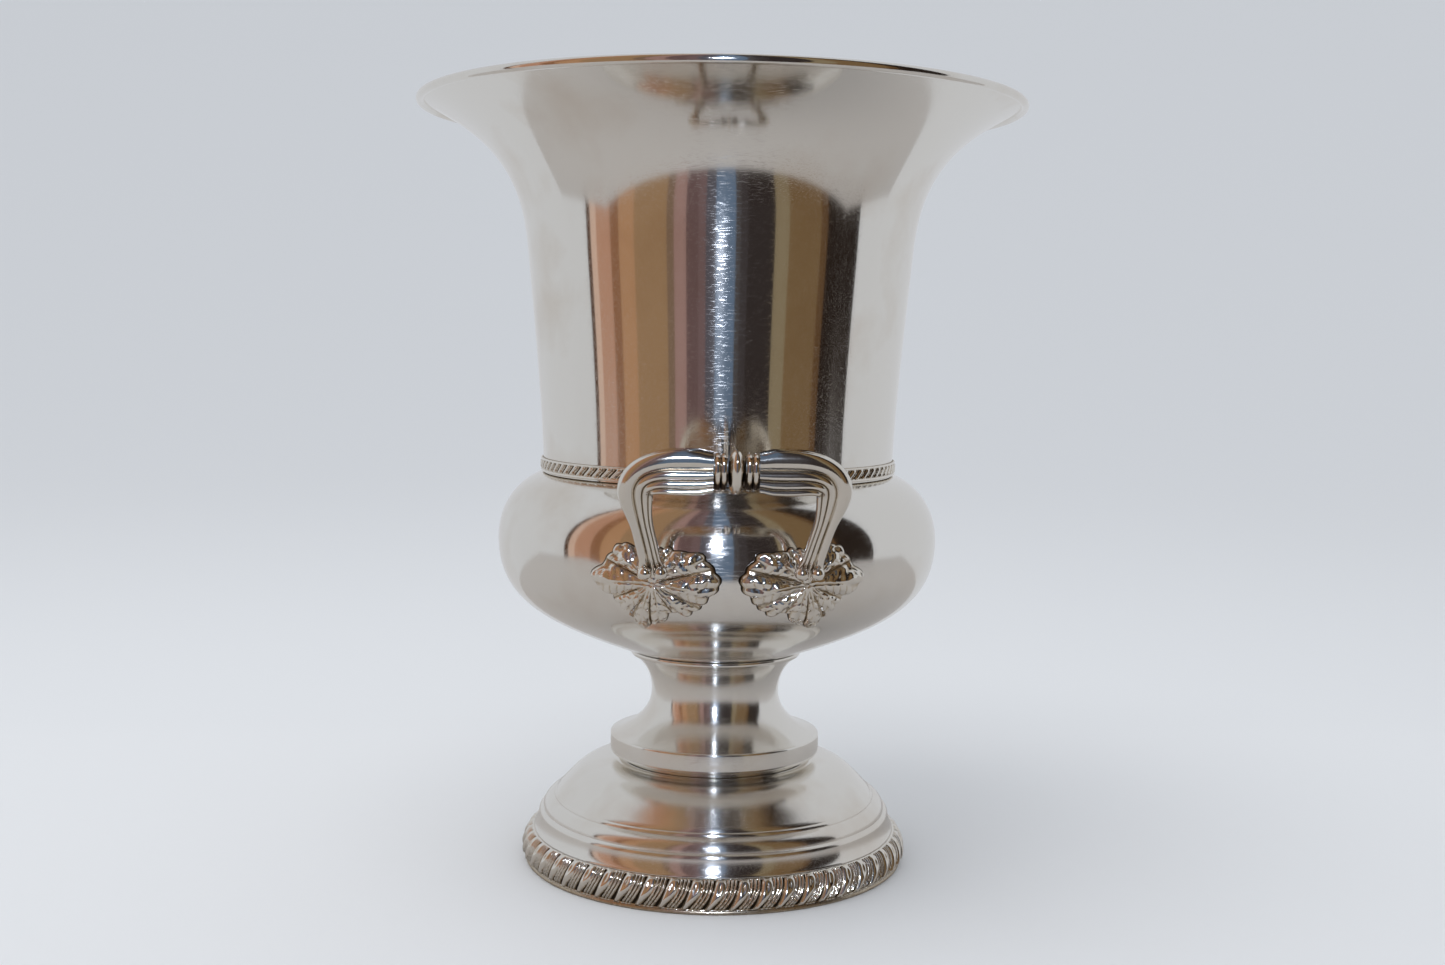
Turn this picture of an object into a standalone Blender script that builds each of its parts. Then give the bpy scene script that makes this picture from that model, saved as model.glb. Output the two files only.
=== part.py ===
"""A silver-plated champagne bucket on a pedestal foot, with two reeded handles on vine-leaf mounts.

The bucket stands on z = 0 with its axis on z. One handle faces -Y and the other +Y. Metres.
"""

import math

import bmesh
import bpy
from mathutils import Matrix, Vector

TAU = 2 * math.pi

# Clearances and sheet
GAP = 0.0003  # between two pieces that touch
WALL = 0.0012  # spun sheet of the body, stem and foot

# Heights of the parts that stand on one another, from the table up
BASE_RING_HEIGHT = 0.0012
BORDER_HEIGHT = 0.0098
STEPS_HEIGHT = 0.0135  # from the border to the edge of the dome
DOME_HEIGHT = 0.0115
STEM_HEIGHT = 0.0397
BOWL_LOWER_HEIGHT = 0.0412  # from the stem's cup to the widest line of the bowl
BOWL_UPPER_HEIGHT = 0.0237
BAND_HEIGHT = 0.0048
THROAT_HEIGHT = 0.0707  # from the band to where the wall starts to flare
FLARE_HEIGHT = 0.0532

# Radii, outside
RIM_RADIUS = 0.1073
RIM_WIRE_RADIUS = 0.0013
THROAT_RADIUS = 0.0683
WAIST_RADIUS = 0.0627
BOWL_RADIUS = 0.0787
CUP_RADIUS = 0.0312
NECK_RADIUS = 0.0231
FLANGE_RADIUS = 0.0380
BASE_RADIUS = 0.0686

# Waist band and foot border
BAND_THICKNESS = 0.0009
SLEEVE_DEPTH = 0.0035
BORDER_THICKNESS = 0.0044
BORDER_LOBES = 54
BORDER_RELIEF = 0.0006
BORDER_SLANT = 0.0047  # how far a lobe leans along the edge
BASE_RING_WIDTH = 0.0090

# Clamp that holds the bowl, stem and foot together
STUD_RADIUS = 0.0025
STUD_HEAD_RADIUS = 0.0130
STUD_HEAD_HEIGHT = 0.0015
STUD_TAIL = 0.0030  # below the nut
WASHER_RADIUS = 0.0150
WASHER_HEIGHT = 0.0016
NUT_WIDTH = 0.0090
NUT_HEIGHT = 0.0045

# Handles
HANDLE_STANDOFF = 0.0213  # from the bowl's widest part out to the middle of the bar
HANDLE_RISE = 0.0076  # from the waist up to the middle of the bar
HANDLE_SPREAD = 0.0300  # from the middle of the bar to a leg at its widest
BAR_DEPTH = 0.0132
BAR_THICKNESS = 0.0062
LEG_DEPTH = 0.0066  # at its foot
KNOP_RADIUS = 0.0077
KNOP_LENGTH = 0.0054
COLLAR_RADIUS = 0.0070
COLLAR_LENGTH = 0.0019
COLLARS = 2  # on each side of the knop
LEAF_ANGLE = math.radians(17.8)  # of a leaf's middle, from the handle's middle
LEAF_DROP = 0.0289  # from the waist down to a leaf's middle
LEAF_THICKNESS = 0.0019
LEAF_SEAT = BOWL_RADIUS / 98  # from the bowl to the leaf's flat facets, which a wider bowl needs more of
LEAF_LOBES = (  # direction in degrees and length of each lobe, seen from outside
    (-3, 0.0215),
    (38, 0.0170),
    (142, 0.0170),
    (183, 0.0215),
    (268, 0.0150),
)
LEAF_NOTCH = 0.62  # a notch's share of the way out to the lobes beside it

# Fineness
SEGMENTS = 40
CURVE_STEPS = 5
LEAF_RINGS = 4

# Heights that follow from the stack
BORDER_BOTTOM = BASE_RING_HEIGHT + GAP
BORDER_TOP = BORDER_BOTTOM + BORDER_HEIGHT
DOME_EDGE = BORDER_TOP + STEPS_HEIGHT
CROWN = DOME_EDGE + DOME_HEIGHT
CUP_EDGE = CROWN + STEM_HEIGHT
BOWL_MIDDLE = CUP_EDGE + BOWL_LOWER_HEIGHT
WAIST = BOWL_MIDDLE + BOWL_UPPER_HEIGHT
BAND_BOTTOM = WAIST + GAP
BAND_TOP = BAND_BOTTOM + BAND_HEIGHT
THROAT = BAND_TOP + THROAT_HEIGHT
RIM_HEIGHT = THROAT + FLARE_HEIGHT

# Radii that follow
SKIRT_RADIUS = BASE_RADIUS - BORDER_THICKNESS
SHELL_JOINT = BAND_BOTTOM + BAND_HEIGHT / 3  # hidden behind the band
SHOULDER_REACH = BOWL_RADIUS - WAIST_RADIUS + 3 * WALL

# Handles' places that follow
HANDLE_REACH = BOWL_RADIUS + HANDLE_STANDOFF
HANDLE_HEIGHT = WAIST + HANDLE_RISE
LEAF_HEIGHT = WAIST - LEAF_DROP


def clear_scene():
    for obj in list(bpy.data.objects):
        bpy.data.objects.remove(obj)


def metal(name, colour, roughness, metallic=1.0):
    """A metal's base colour, 0 to 1, with its roughness."""
    material = bpy.data.materials.new(name)
    material.use_nodes = True
    shader = material.node_tree.nodes["Principled BSDF"]
    shader.inputs["Base Color"].default_value = (*colour, 1)
    shader.inputs["Metallic"].default_value = metallic
    shader.inputs["Roughness"].default_value = roughness
    material.diffuse_color = (*colour, 1)
    return material


def curve(start, start_control, end_control, end, steps=CURVE_STEPS):
    """Points along a cubic curve, with both ends."""
    points = []
    for step in range(steps + 1):
        t = step / steps
        weights = ((1 - t) ** 3, 3 * (1 - t) ** 2 * t, 3 * (1 - t) * t**2, t**3)
        corners = (start, start_control, end_control, end)
        points.append(tuple(sum(w * c[i] for w, c in zip(weights, corners)) for i in range(len(start))))
    return points


def offset(points, distance):
    """The (radius, height) line moved to its right by a distance, mitred at each corner."""
    moved = []
    for index, point in enumerate(points):
        here = Vector(point)
        before = here - Vector(points[index - 1]) if index else None
        after = Vector(points[index + 1]) - here if index + 1 < len(points) else None
        sides = [Vector((run.y, -run.x)).normalized() for run in (before, after) if run]
        middle = sum(sides, Vector((0, 0))).normalized()
        moved.append(tuple(here + middle * distance / middle.dot(sides[0])))
    return moved


def new_object(name, mesh_builder, material, parent=None):
    """Fills a new bmesh with mesh_builder and links it as a smooth object."""
    mesh = bpy.data.meshes.new(name)
    shape = bmesh.new()
    mesh_builder(shape)
    bmesh.ops.recalc_face_normals(shape, faces=shape.faces)
    shape.to_mesh(mesh)
    shape.free()
    mesh.shade_smooth()
    mesh.set_sharp_from_angle(angle=math.radians(35))
    mesh.materials.append(material)
    obj = bpy.data.objects.new(name, mesh)
    bpy.context.scene.collection.objects.link(obj)
    obj.parent = parent
    return obj


def turned(outline, steps=SEGMENTS, axis=(0, 0, 1), closed=True):
    """A builder that turns an outline of (radius, place along the axis) all the way round the axis."""
    along = Vector(axis)
    across = Vector((1, 0, 0)) if along.z else Vector((0, 0, 1))

    def build(shape):
        verts = [shape.verts.new(across * radius + along * place) for radius, place in outline]
        pairs = list(zip(verts, verts[1:]))
        if closed:
            pairs.append((verts[-1], verts[0]))
        edges = [shape.edges.new(pair) for pair in pairs]
        bmesh.ops.spin(
            shape, geom=verts + edges, cent=(0, 0, 0), axis=axis, angle=TAU, steps=steps, use_merge=True
        )
        bmesh.ops.remove_doubles(shape, verts=shape.verts, dist=1e-6)

    return build


# Body


def bowl_outline():
    """The bowl's outside, from its neck down to the middle of its bottom."""
    shoulder_centre = BOWL_RADIUS - SHOULDER_REACH
    inset = (WAIST_RADIUS - shoulder_centre) / SHOULDER_REACH
    shoulder_rise = BOWL_UPPER_HEIGHT / math.sqrt(1 - inset**2)
    start = math.acos((WAIST_RADIUS - shoulder_centre) / SHOULDER_REACH)
    points = [(WAIST_RADIUS, SHELL_JOINT - GAP)]
    for step in range(CURVE_STEPS + 1):
        angle = start * (1 - step / CURVE_STEPS)
        radius = shoulder_centre + SHOULDER_REACH * math.cos(angle)
        points.append((radius, BOWL_MIDDLE + shoulder_rise * math.sin(angle)))
    fullness = 0.66
    points += curve(
        (BOWL_RADIUS, BOWL_MIDDLE),
        (BOWL_RADIUS, BOWL_MIDDLE - 0.55 * BOWL_LOWER_HEIGHT),
        (CUP_RADIUS + fullness * (BOWL_RADIUS - CUP_RADIUS), CUP_EDGE + 0.28 * BOWL_LOWER_HEIGHT),
        (CUP_RADIUS, CUP_EDGE + GAP),
        steps=CURVE_STEPS + 1,
    )[1:]
    return points + [(CUP_RADIUS / 2, bowl_bottom(CUP_RADIUS / 2)), (0, bowl_bottom(0))]


def bowl_bottom(radius):
    """Height of the bowl's outside inside the stem's cup, where it is a shallow dish."""
    dish = 0.15 * CUP_RADIUS
    return CUP_EDGE + GAP - dish * (1 - (radius / CUP_RADIUS) ** 2)


def bowl():
    outside = bowl_outline()
    inside = offset(outside, WALL)
    inside[0] = (inside[0][0], outside[0][1])
    inside[-1] = (0, inside[-1][1])
    return turned(outside[::-1] + inside, closed=False)


def upper_body():
    """The flared shell, from the rim wire down to the sleeve inside the bowl's neck."""
    lean = Vector((0.91, 0.41)).normalized()
    wire_centre = Vector((RIM_RADIUS - RIM_WIRE_RADIUS, RIM_HEIGHT))
    edge = wire_centre - lean * (RIM_WIRE_RADIUS + GAP + WALL / 8) + Vector((lean.y, -lean.x)) * WALL / 2
    throat = Vector((THROAT_RADIUS, THROAT))
    flare = curve(
        tuple(edge),
        tuple(edge - lean * 0.47 * FLARE_HEIGHT),
        tuple(throat + Vector((0.15, 1)) * 0.56 * FLARE_HEIGHT),
        tuple(throat),
        steps=CURVE_STEPS + 2,
    )
    wall = curve(
        tuple(throat),
        tuple(throat - Vector((0.14, 1)) * THROAT_HEIGHT / 3),
        (WAIST_RADIUS + 0.0008, BAND_TOP + THROAT_HEIGHT / 3),
        (WAIST_RADIUS, BAND_TOP),
        steps=3,
    )
    outside = flare + wall[1:] + [(WAIST_RADIUS, SHELL_JOINT)]
    inside = offset(outside, WALL)
    step_in = WALL + GAP
    sleeve = [
        (WAIST_RADIUS - step_in, SHELL_JOINT),
        (WAIST_RADIUS - step_in, SHELL_JOINT - SLEEVE_DEPTH),
        (WAIST_RADIUS - step_in - WALL, SHELL_JOINT - SLEEVE_DEPTH),
        (WAIST_RADIUS - step_in - WALL, SHELL_JOINT + WALL / 2),
    ]
    inside[-1] = (WAIST_RADIUS - WALL, SHELL_JOINT + WALL * 1.5)
    return turned(outside + sleeve + inside[::-1])


def rim_wire():
    centre = RIM_RADIUS - RIM_WIRE_RADIUS
    sides = 6
    angles = [TAU * (side + 0.5) / sides for side in range(sides)]
    # The section's flats stand as far out as the round wire would.
    reach = RIM_WIRE_RADIUS / math.cos(math.pi / sides)
    section = [(centre + reach * math.cos(a), RIM_HEIGHT + reach * math.sin(a)) for a in angles]
    return turned(section)


def waist_band():
    inner = WAIST_RADIUS + GAP
    lip = inner + BAND_THICKNESS
    rib = lip + 0.0004
    return turned(
        [
            (inner, BAND_TOP),
            (lip, BAND_TOP),
            (rib, BAND_TOP - 0.3 * BAND_HEIGHT),
            (rib, BAND_BOTTOM + 0.3 * BAND_HEIGHT),
            (lip, BAND_BOTTOM),
            (inner, BAND_BOTTOM),
        ]
    )


# Stem and foot


def stem():
    """The hollow neck: a cup under the bowl, a waist, and a flange that stands on the foot's crown."""
    foot = CROWN + GAP
    flange_height = 0.20 * STEM_HEIGHT
    undercut = 0.05 * STEM_HEIGHT
    seat = FLANGE_RADIUS - 0.0065
    edge = CUP_EDGE - 0.0010
    neck = foot + 0.64 * STEM_HEIGHT
    shoulder = foot + undercut + flange_height
    outside = [(CUP_RADIUS, CUP_EDGE - GAP), (CUP_RADIUS, edge), (CUP_RADIUS - 0.0011, edge - 0.0006)]
    outside += curve(
        (CUP_RADIUS - 0.0014, edge - 0.0014),
        (NECK_RADIUS + 0.0018, edge - 0.0055),
        (NECK_RADIUS, neck + 0.0050),
        (NECK_RADIUS, neck),
        steps=4,
    )
    outside += curve(
        (NECK_RADIUS, neck),
        (NECK_RADIUS, neck - 0.0085),
        (FLANGE_RADIUS - 0.0070, shoulder + 0.0038),
        (FLANGE_RADIUS - 0.0008, shoulder),
        steps=5,
    )[1:]
    outside += [
        (FLANGE_RADIUS, shoulder - 0.0010),
        (FLANGE_RADIUS, foot + undercut),
        (seat, foot + undercut * 0.8),
        (seat, foot),
    ]
    bore = NECK_RADIUS - WALL
    inside = [
        (seat - 2 * WALL, foot),
        (seat - 2 * WALL, shoulder - 0.0020),
        (bore, neck - 0.0060),
        (bore, neck + 0.0040),
        (CUP_RADIUS - 4 * WALL, edge - 0.0040),
        (CUP_RADIUS - 3.5 * WALL, bowl_bottom(CUP_RADIUS - 3.5 * WALL) - 2 * GAP),
    ]
    return turned(outside + inside, steps=SEGMENTS * 2 // 3)


def dome_outline():
    """The dome's outside, from the stud's hole to its edge."""
    edge = SKIRT_RADIUS - 0.0070
    rise = CROWN - DOME_EDGE
    hole = STUD_RADIUS + GAP
    crown_radius = FLANGE_RADIUS - 0.0045
    return [(hole, CROWN)] + curve(
        (crown_radius, CROWN),
        (crown_radius + 0.44 * (edge - crown_radius), CROWN),
        (crown_radius + 0.75 * (edge - crown_radius), DOME_EDGE + 0.57 * rise),
        (edge, DOME_EDGE),
    )


def foot_dome():
    """The spun foot: dome, a fillet, a round moulding, a cove, and a skirt inside the border."""
    dome = dome_outline()
    moulding = curve(
        (SKIRT_RADIUS - 0.0050, BORDER_TOP + 0.0117),
        (SKIRT_RADIUS - 0.0026, BORDER_TOP + 0.0115),
        (SKIRT_RADIUS - 0.0014, BORDER_TOP + 0.0090),
        (SKIRT_RADIUS - 0.0020, BORDER_TOP + 0.0070),
        steps=3,
    )
    steps = [
        (SKIRT_RADIUS - 0.0058, BORDER_TOP + 0.0129),
        *moulding,
        (SKIRT_RADIUS - 0.0006, BORDER_TOP + 0.0066),
        (SKIRT_RADIUS - 0.0002, BORDER_TOP + 0.0050),
        (SKIRT_RADIUS + 0.0012, BORDER_TOP + 0.0007),
        (SKIRT_RADIUS + 0.0012, BORDER_TOP + GAP),
        (SKIRT_RADIUS, BORDER_TOP + GAP),
        (SKIRT_RADIUS, BORDER_BOTTOM),
    ]
    under = dome + [
        (SKIRT_RADIUS - 0.0058, BORDER_TOP + 0.0122),
        (SKIRT_RADIUS - 0.0022, BORDER_TOP + 0.0098),
        (SKIRT_RADIUS - 0.0020, BORDER_TOP + 0.0068),
        (SKIRT_RADIUS - 0.0004, BORDER_TOP + 0.0048),
        (SKIRT_RADIUS, BORDER_TOP),
        (SKIRT_RADIUS, BORDER_BOTTOM),
    ]
    inside = offset(under, WALL)
    return turned(dome + steps + inside[::-1])


def gadroon_border():
    """A ring whose outside swells in slanting lobes."""
    inner = SKIRT_RADIUS + GAP
    swell = BASE_RADIUS + 0.0007 - inner
    outside = [
        (inner + swell * math.cos(a), BORDER_BOTTOM + BORDER_HEIGHT * (0.32 + 0.68 * math.sin(a)))
        for a in (math.radians(degrees) for degrees in (74, 52, 30, 8))
    ]
    outline = [(inner, BORDER_TOP)]
    outline += [(outside[0][0], BORDER_TOP), *outside[1:]]
    outline += [(BASE_RADIUS - 0.0002, BORDER_BOTTOM), (inner, BORDER_BOTTOM)]
    ring = turned(outline, steps=2 * BORDER_LOBES)

    def build(shape):
        ring(shape)
        for vert in shape.verts:
            radius = vert.co.xy.length
            if radius < inner + BORDER_THICKNESS / 3:
                continue
            turn = math.atan2(vert.co.y, vert.co.x)
            crest = 1 if round(turn / TAU * 2 * BORDER_LOBES) % 2 else -1
            along = (vert.co.z - BORDER_BOTTOM) / BORDER_HEIGHT
            depth = BORDER_RELIEF * math.sin(math.pi * along)
            # Seen from outside, a lobe's top leans to the right.
            turn += (along - 0.5) * BORDER_SLANT / BASE_RADIUS
            radius += crest * depth
            vert.co.x = radius * math.cos(turn)
            vert.co.y = radius * math.sin(turn)

    return build


def base_ring():
    inner = BASE_RADIUS - BASE_RING_WIDTH
    return turned([(inner, BASE_RING_HEIGHT), (BASE_RADIUS, BASE_RING_HEIGHT), (BASE_RADIUS, 0), (inner, 0)])


# Clamp

STUD_TOP = bowl_bottom(0) - GAP
WASHER_TOP = CROWN - WALL - GAP
NUT_TOP = WASHER_TOP - WASHER_HEIGHT - GAP


def mounting_stud():
    under_head = STUD_TOP - STUD_HEAD_HEIGHT
    tail = NUT_TOP - NUT_HEIGHT - STUD_TAIL
    outline = [
        (0, STUD_TOP),
        (STUD_HEAD_RADIUS, STUD_TOP),
        (STUD_HEAD_RADIUS, under_head),
        (STUD_RADIUS, under_head),
        (STUD_RADIUS, tail),
        (0, tail),
    ]
    return turned(outline, steps=16, closed=False)


def clamp_washer():
    hole = STUD_RADIUS + GAP
    bottom = WASHER_TOP - WASHER_HEIGHT
    outline = [(hole, WASHER_TOP), (WASHER_RADIUS, WASHER_TOP), (WASHER_RADIUS, bottom), (hole, bottom)]
    return turned(outline, steps=16)


def clamp_nut():
    hole = STUD_RADIUS + GAP
    bottom = NUT_TOP - NUT_HEIGHT
    flat = NUT_WIDTH / 2
    corner = flat / math.cos(math.pi / 6)
    ring = turned([(hole, NUT_TOP), (flat, NUT_TOP), (flat, bottom), (hole, bottom)], steps=12)

    def build(shape):
        ring(shape)
        for vert in shape.verts:
            turn = math.atan2(vert.co.y, vert.co.x)
            if vert.co.xy.length > flat * 0.9 and round(turn / TAU * 12) % 2:
                vert.co.xy *= corner / flat

    return build


# Handles


def handle_point(across, up):
    """A point of the handle's plane: across from its middle, and up from the bar."""
    lean = (HANDLE_REACH - BOWL_RADIUS) / (HANDLE_HEIGHT - LEAF_HEIGHT)
    return Vector((across, -HANDLE_REACH - up * lean * 0.95, HANDLE_HEIGHT + up))


def leaf_seat():
    """The place and the outward direction of the middle of the right leaf, on the bowl's outside."""
    out = Vector((math.sin(LEAF_ANGLE), -math.cos(LEAF_ANGLE), 0))
    return out * bowl_radius(LEAF_HEIGHT) + Vector((0, 0, LEAF_HEIGHT)), out


def bowl_radius(height):
    """The bowl's outer radius at a height, between its waist and its stem."""
    points = bowl_outline()[1:]
    for (upper_radius, upper), (lower_radius, lower) in zip(points, points[1:]):
        if lower <= height <= upper:
            share = (upper - height) / (upper - lower) if upper > lower else 0
            return upper_radius + share * (lower_radius - upper_radius)
    return WAIST_RADIUS


def arm_path():
    """The middle of the right arm, from the last collar to the leaf."""
    start = KNOP_LENGTH / 2 + COLLARS * (COLLAR_LENGTH + GAP) + GAP
    seat, out = leaf_seat()
    # The bowl swells above the leaf's middle, and the end of the arm keeps clear of that too.
    swell = bowl_radius(LEAF_HEIGHT + LEG_DEPTH / 2) - bowl_radius(LEAF_HEIGHT)
    foot = seat + out * (LEAF_SEAT + LEAF_THICKNESS + GAP + max(0, swell))
    corner_drop = 0.0110
    corner = handle_point(HANDLE_SPREAD, -corner_drop)
    straight = HANDLE_SPREAD - 0.0125
    knee = foot + Vector((0, 0, 0.0055)) + out * 0.0045
    top = [handle_point(start, 0)]
    bend = curve(
        handle_point(straight, 0),
        handle_point(straight + 0.0080, 0),
        handle_point(HANDLE_SPREAD + 0.0008, -0.0035),
        corner,
        steps=5,
    )
    leg = curve(
        corner,
        handle_point(HANDLE_SPREAD - 0.0006, -corner_drop - 0.0080),
        knee + (corner - knee) * 0.25,
        knee,
        steps=4,
    )
    return top + bend + leg[1:] + [foot]


def arm(side):
    """A flat oval bar swept along the arm's path, narrower towards its foot."""
    path = [Vector(point) for point in arm_path()]
    ends = [path[0]] + path + [path[-1]]
    _, out = leaf_seat()
    across_plane = (handle_point(1, 0) - handle_point(0, 0)).cross(handle_point(0, 1) - handle_point(0, 0))
    lengths = [0.0]
    for before, here in zip(path, path[1:]):
        lengths.append(lengths[-1] + (here - before).length)

    def frame(index):
        run = (ends[index + 2] - ends[index]).normalized()
        if index == 0:
            run = Vector((1, 0, 0))
        if index == len(path) - 1:
            run = -out
        thick = (across_plane - run * across_plane.dot(run)).normalized()
        deep = run.cross(thick)
        share = lengths[index] / lengths[-1]
        depth = BAR_DEPTH + (LEG_DEPTH - BAR_DEPTH) * share
        thickness = BAR_THICKNESS * (1 - 0.25 * share)
        turn = Matrix((deep * depth / 2, thick * thickness / 2, run)).transposed().to_4x4()
        return Matrix.Translation(path[index]) @ turn

    def build(shape):
        bmesh.ops.create_circle(shape, cap_ends=True, segments=10, radius=1)
        bmesh.ops.transform(shape, matrix=frame(0), verts=shape.verts)
        end = shape.faces[:][0]
        for index in range(1, len(path)):
            step = frame(index) @ frame(index - 1).inverted()
            grown = bmesh.ops.extrude_face_region(shape, geom=[end])["geom"]
            if index > 1:
                shape.faces.remove(end)
            end = next(item for item in grown if isinstance(item, bmesh.types.BMFace))
            bmesh.ops.transform(shape, matrix=step, verts=end.verts)
        if side < 0:
            bmesh.ops.scale(shape, vec=(-1, 1, 1), verts=shape.verts)

    return build


def knop():
    """The oval bead in the middle of the bar, with its collars, turned along x."""
    half = KNOP_LENGTH / 2
    waist = 0.72 * COLLAR_RADIUS
    right = [(KNOP_RADIUS * math.cos(a), half * math.sin(a)) for a in (0, 0.7)]
    right.append((waist, half))
    for collar in range(COLLARS):
        start = half + collar * (COLLAR_LENGTH + GAP) + GAP
        middle = start + COLLAR_LENGTH / 2
        right += [(COLLAR_RADIUS * 0.93, start), (COLLAR_RADIUS, middle)]
        right += [(COLLAR_RADIUS * 0.93, start + COLLAR_LENGTH)]
        if collar + 1 < COLLARS:
            right.append((waist, start + COLLAR_LENGTH + GAP / 2))
    right.append((0, right[-1][1]))
    left = [(radius, -place) for radius, place in right[:0:-1]]
    spin = turned(left + right, steps=12, axis=(1, 0, 0), closed=False)

    def build(shape):
        spin(shape)
        flat = BAR_THICKNESS / BAR_DEPTH
        lean = Matrix.Rotation(math.atan2(handle_point(0, 1).y - handle_point(0, 0).y, 1), 4, "X")
        bmesh.ops.scale(shape, vec=(1, max(flat, 0.62), 1), verts=shape.verts)
        place = Matrix.Translation(handle_point(0, 0)) @ lean.inverted()
        bmesh.ops.transform(shape, matrix=place, verts=shape.verts)

    return build


def leaf_edge():
    """The leaf's outline round its middle: a tip for each lobe, its two shoulders, and a notch after it."""
    points = []
    followers = LEAF_LOBES[1:] + ((LEAF_LOBES[0][0] + 360, LEAF_LOBES[0][1]),)
    for (direction, length), (next_direction, next_length) in zip(LEAF_LOBES, followers):
        shoulder = min(17, (next_direction - direction) / 3)
        points += [(direction - shoulder, 0.80 * length), (direction, length)]
        points += [(direction + shoulder, 0.80 * length)]
        points.append(((direction + next_direction) / 2, LEAF_NOTCH * (length + next_length) / 2))
    return [Matrix.Rotation(math.radians(turn), 3, "Z") @ Vector((reach, 0, 0)) for turn, reach in points]


def leaf(side):
    """A lobed plate that lies on the bowl's outside."""
    middle = LEAF_ANGLE * side

    def build(shape):
        edge = leaf_edge()
        bmesh.ops.create_circle(shape, cap_ends=True, segments=len(edge), radius=1)
        for vert, point in zip(shape.verts, edge):
            vert.co = point
        poked = bmesh.ops.poke(shape, faces=shape.faces)
        centre = poked["verts"][0]
        centre.co = (0, 0, 0)
        bmesh.ops.subdivide_edges(shape, edges=centre.link_edges[:], cuts=LEAF_RINGS - 1)
        bmesh.ops.triangulate(shape, faces=[face for face in shape.faces if len(face.verts) > 4])
        flat = list(shape.faces)
        grown = bmesh.ops.extrude_face_region(shape, geom=flat, use_keep_orig=True)["geom"]
        for vert in (item for item in grown if isinstance(item, bmesh.types.BMVert)):
            vert.co.z = LEAF_THICKNESS
        for vert in shape.verts:
            across, up, out = vert.co
            height = LEAF_HEIGHT + up
            radius = bowl_radius(height) + LEAF_SEAT + out
            turn = middle + across / BOWL_RADIUS
            vert.co = (radius * math.sin(turn), -radius * math.cos(turn), height)

    return build


def make_handle(name, turn, materials):
    """Five pieces on an empty that is turned about the bucket's axis."""
    holder = bpy.data.objects.new(name, None)
    holder.rotation_euler.z = turn
    bpy.context.scene.collection.objects.link(holder)
    polished, oxidised = materials
    new_object(name + "_knop", knop(), polished, holder)
    for side, word in ((-1, "left"), (1, "right")):
        new_object(f"{name}_{word}_arm", arm(side), polished, holder)
        new_object(f"{name}_{word}_leaf", leaf(side), oxidised, holder)


def main():
    clear_scene()
    polished = metal("polished_silver_plate", (0.85, 0.84, 0.82), 0.12)
    oxidised = metal("oxidised_silver_plate", (0.62, 0.58, 0.53), 0.25)
    inner = metal("dull_plate", (0.72, 0.71, 0.69), 0.3)
    brass = metal("bare_brass", (0.72, 0.55, 0.30), 0.35)
    new_object("upper_body", upper_body(), polished)
    new_object("rim_wire", rim_wire(), polished)
    new_object("bowl", bowl(), polished)
    new_object("waist_band", waist_band(), oxidised)
    new_object("stem", stem(), polished)
    new_object("foot_dome", foot_dome(), polished)
    new_object("gadroon_border", gadroon_border(), oxidised)
    new_object("base_ring", base_ring(), inner)
    new_object("mounting_stud", mounting_stud(), brass)
    new_object("clamp_washer", clamp_washer(), brass)
    new_object("clamp_nut", clamp_nut(), brass)
    make_handle("front_handle", 0, (polished, oxidised))
    make_handle("back_handle", math.pi, (polished, oxidised))


main()
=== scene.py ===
"""The looks of a silver-plated champagne bucket that stands on its own pedestal foot.

Shapes are worked out in millimetres and scaled to metres when a piece is finished. Heights and radii come
from the CAD nodes' boxes. The bucket's front, with one of its two handles, faces -Y.
"""

import math

import bmesh
import bpy
from mathutils import Matrix, Vector, noise
from mathutils.geometry import interpolate_bezier


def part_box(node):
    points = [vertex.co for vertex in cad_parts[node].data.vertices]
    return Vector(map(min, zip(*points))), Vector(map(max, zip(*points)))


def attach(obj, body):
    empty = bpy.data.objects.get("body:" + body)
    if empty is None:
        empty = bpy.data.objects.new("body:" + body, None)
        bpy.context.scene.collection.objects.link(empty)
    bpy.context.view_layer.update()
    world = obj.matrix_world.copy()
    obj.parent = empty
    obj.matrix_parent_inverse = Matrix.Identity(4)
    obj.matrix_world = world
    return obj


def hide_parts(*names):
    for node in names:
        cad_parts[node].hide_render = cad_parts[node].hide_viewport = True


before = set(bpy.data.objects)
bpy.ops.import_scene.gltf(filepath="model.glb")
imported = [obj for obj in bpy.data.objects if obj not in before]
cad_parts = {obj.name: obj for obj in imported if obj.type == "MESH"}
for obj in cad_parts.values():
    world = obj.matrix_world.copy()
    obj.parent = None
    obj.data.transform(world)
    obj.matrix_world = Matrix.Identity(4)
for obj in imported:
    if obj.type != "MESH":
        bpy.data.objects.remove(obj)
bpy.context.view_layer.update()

MM = 0.001
TAU = math.tau
ROUND_STEPS = 192  # round each turned shell


def corners(node):
    """A CAD node's lowest and highest corners in millimetres."""
    low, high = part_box(node)
    return low / MM, high / MM


# Sizes that the CAD model sets

RIM_RADIUS = corners("rim_wire")[1].x
RIM_TOP = corners("rim_wire")[1].z
WIRE_RADIUS = (RIM_TOP - corners("rim_wire")[0].z) / 2
BAND_TOP = corners("waist_band")[1].z
BAND_BOTTOM = corners("waist_band")[0].z
BOWL_RADIUS = corners("bowl")[1].x
CUP_TOP = corners("stem")[1].z
FLANGE_RADIUS = corners("stem")[1].x
STEM_FOOT = corners("stem")[0].z
CROWN = corners("foot_dome")[1].z
BORDER_TOP = corners("gadroon_border")[1].z
BORDER_BOTTOM = corners("gadroon_border")[0].z
BORDER_RADIUS = corners("base_ring")[1].x
BAR_HEIGHT = (corners("front_handle_knop")[0].z + corners("front_handle_knop")[1].z) / 2
BAR_REACH = -(corners("front_handle_knop")[0].y + corners("front_handle_knop")[1].y) / 2
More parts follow.
